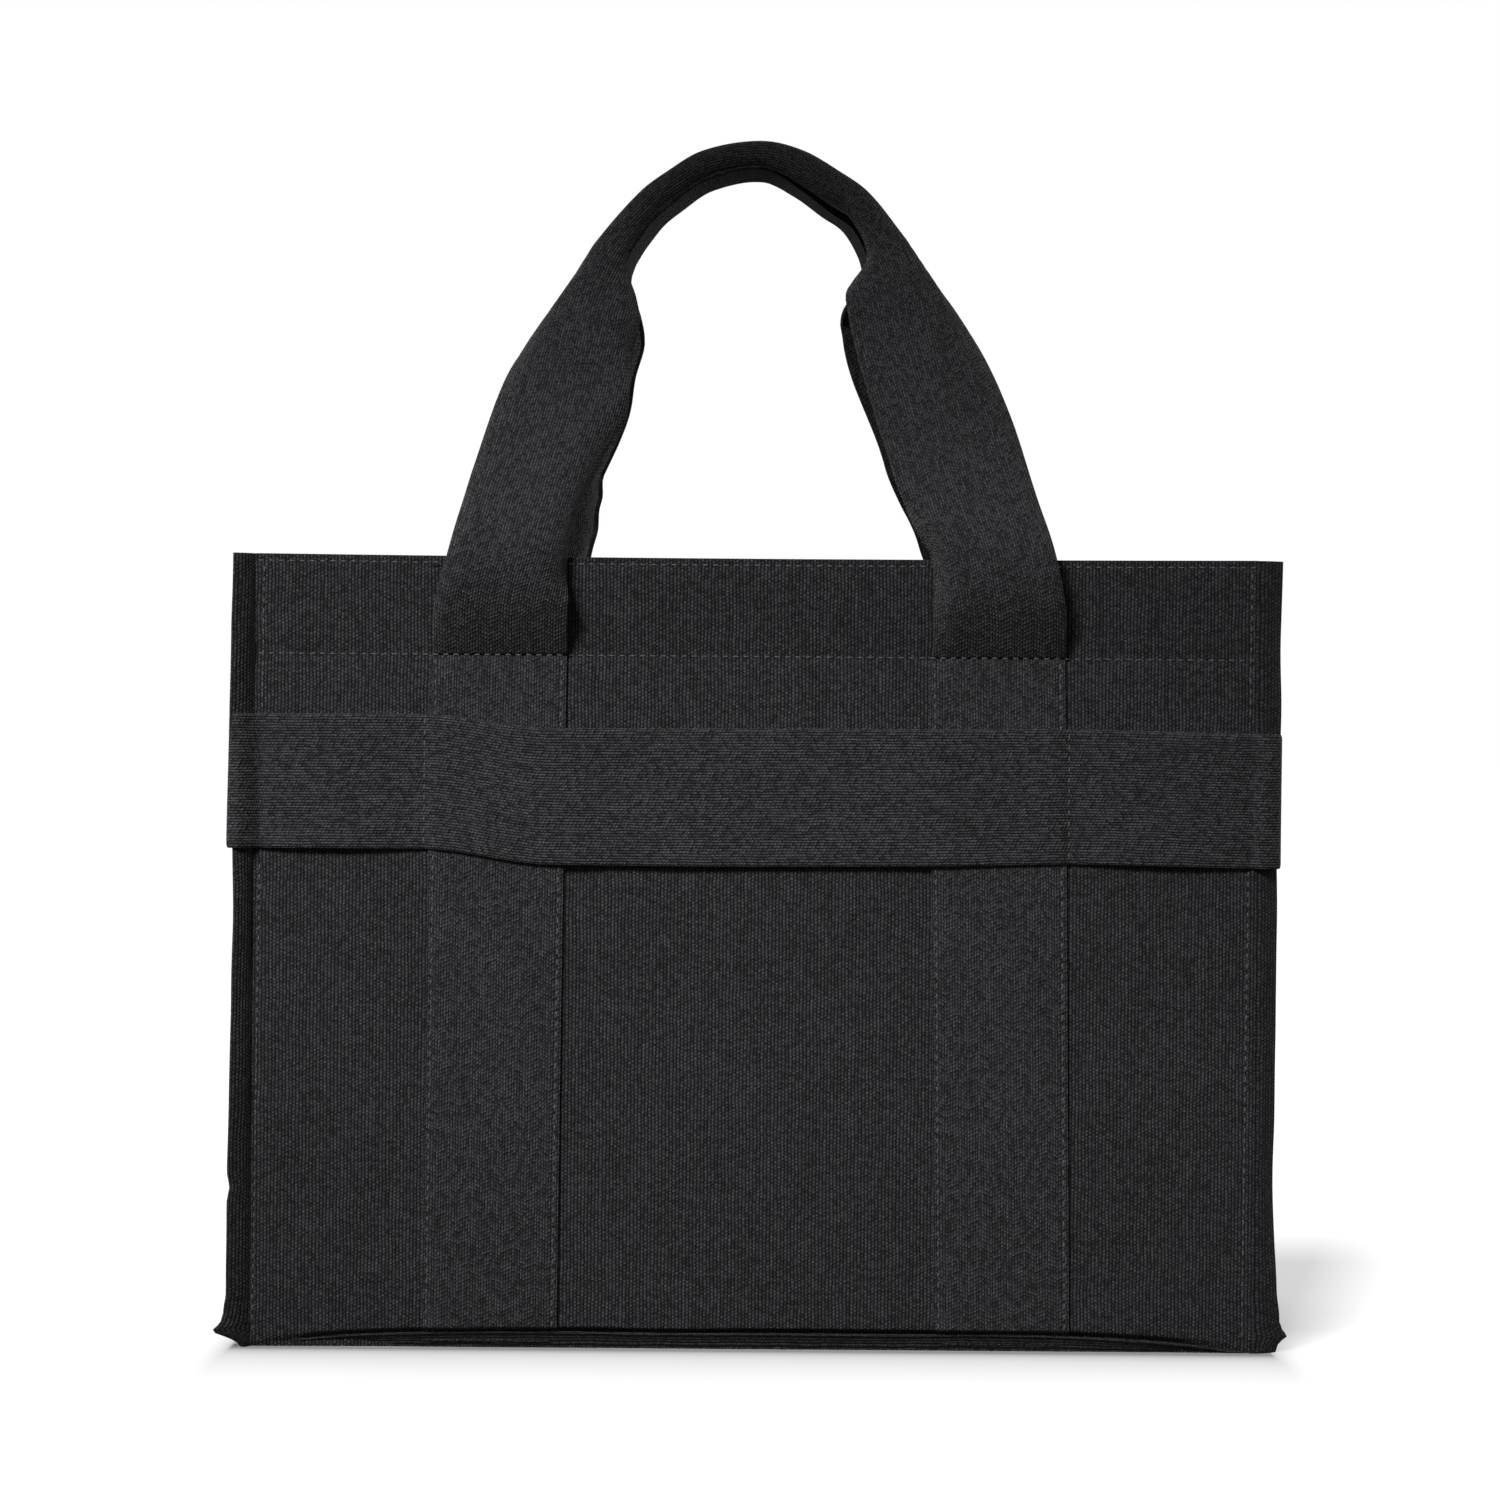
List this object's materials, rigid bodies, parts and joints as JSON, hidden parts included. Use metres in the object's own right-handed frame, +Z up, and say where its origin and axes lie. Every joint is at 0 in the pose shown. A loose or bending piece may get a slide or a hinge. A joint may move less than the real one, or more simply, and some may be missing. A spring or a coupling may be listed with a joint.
{
  "type": "canvas tote bag",
  "caption": "Structured box-shaped canvas tote with webbing straps, a stitched webbing belt and two webbing handles that fold down.",
  "frame": {"origin": "bottom centre of the bag, on the floor that it stands on", "axes": "+X to the right seen from the front, +Y from the front panel to the back panel, +Z up"},
  "size_m": [0.4114, 0.178, 0.4712],
  "materials": {
    "canvas": "heavy plain-weave cotton canvas, charcoal black, matt",
    "webbing": "heavy twill-weave cotton webbing, charcoal black, matt",
    "thread": "heavy spun sewing thread, charcoal black",
    "board": "black sheet, lightly grained"
  },
  "bodies": {
    "bag": {"front_panel": "canvas", "back_panel": "canvas", "left_gusset": "canvas", "right_gusset": "canvas", "base_panel": "canvas", "base_board": "board", "front_facing": "canvas", "back_facing": "canvas", "left_facing": "canvas", "right_facing": "canvas", "front_left_seam": "canvas", "front_right_seam": "canvas", "back_left_seam": "canvas", "back_right_seam": "canvas", "front_base_seam": "canvas", "back_base_seam": "canvas", "left_base_seam": "canvas", "right_base_seam": "canvas", "front_left_strap": "webbing", "front_right_strap": "webbing", "back_left_strap": "webbing", "back_right_strap": "webbing", "belt": "webbing"},
    "front_handle": {"front_handle": "webbing"},
    "back_handle": {"back_handle": "webbing"}
  },
  "joints": [
    {"name": "front_handle_fold", "type": "hinge", "parent": "bag", "child": "front_handle", "pos_m": [0, -0.0823, 0.264], "axis": [1, 0, 0], "range_deg": [0, 160]},
    {"name": "back_handle_fold", "type": "hinge", "parent": "bag", "child": "back_handle", "pos_m": [0, 0.0823, 0.264], "axis": [-1, 0, 0], "range_deg": [0, 160]}
  ]
}
